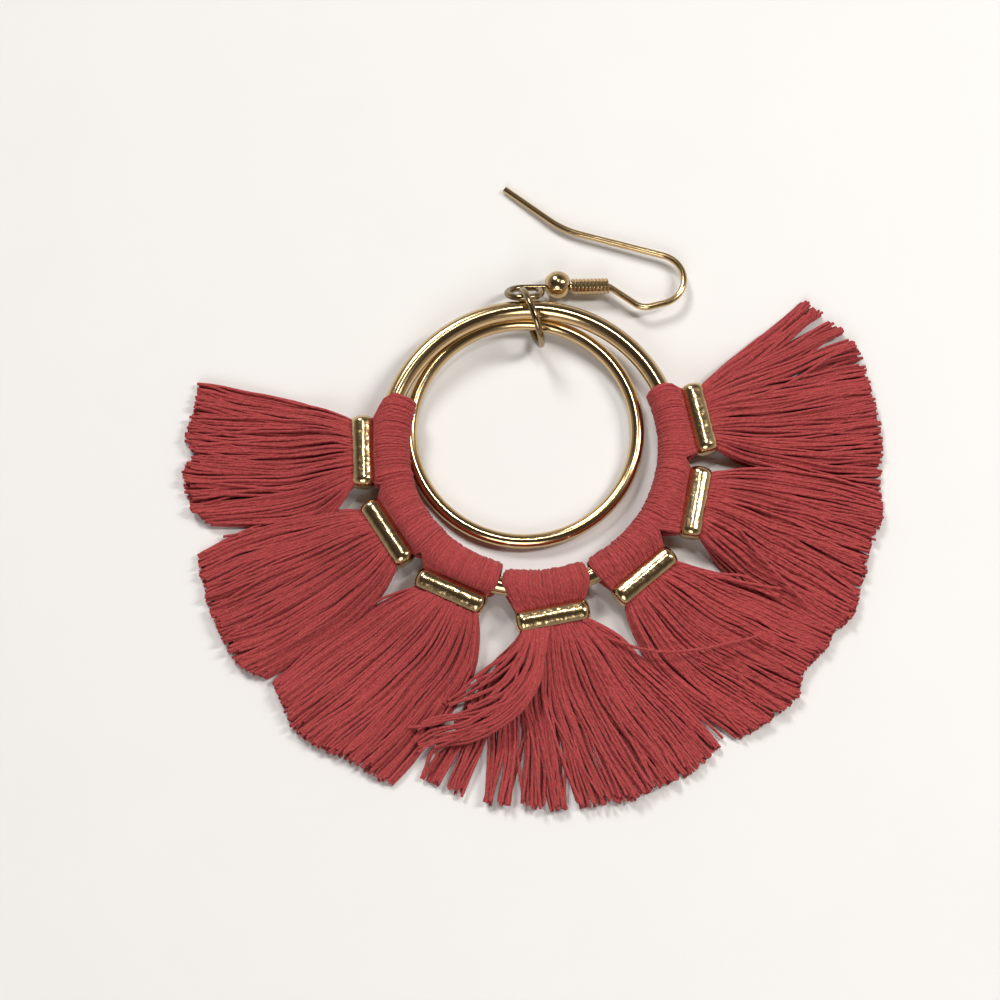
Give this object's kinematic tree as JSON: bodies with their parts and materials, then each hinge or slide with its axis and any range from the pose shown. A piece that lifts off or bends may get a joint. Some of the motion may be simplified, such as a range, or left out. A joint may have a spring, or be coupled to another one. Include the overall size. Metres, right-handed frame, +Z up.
{
  "type": "tassel earring",
  "caption": "Drop earring with a hoop of coral thread tassels, each clasped by a small gold tube, round a plain inner ring, on a jump ring and a fish-hook ear wire with a ball and a coil.",
  "frame": {"origin": "middle of the earring's outline on the surface that it lies on", "axes": "+X across the hoop, +Y towards the ear hook, +Z up out of the surface"},
  "size_m": [0.0678, 0.0626, 0.0061],
  "materials": {
    "gold": "polished",
    "thread": "matte"
  },
  "bodies": {
    "root": {"ear_hook": "gold", "hook_ball": "gold", "hook_coil": "gold", "jump_ring": "gold", "hoop_outer": "gold", "hoop_inner": "gold", "tassel_1": "thread", "tassel_2": "thread", "tassel_3": "thread", "tassel_4": "thread", "tassel_5": "thread", "tassel_6": "thread", "tassel_7": "thread", "tube_1": "gold", "tube_2": "gold", "tube_3": "gold", "tube_4": "gold", "tube_5": "gold", "tube_6": "gold", "tube_7": "gold"}
  },
  "joints": []
}
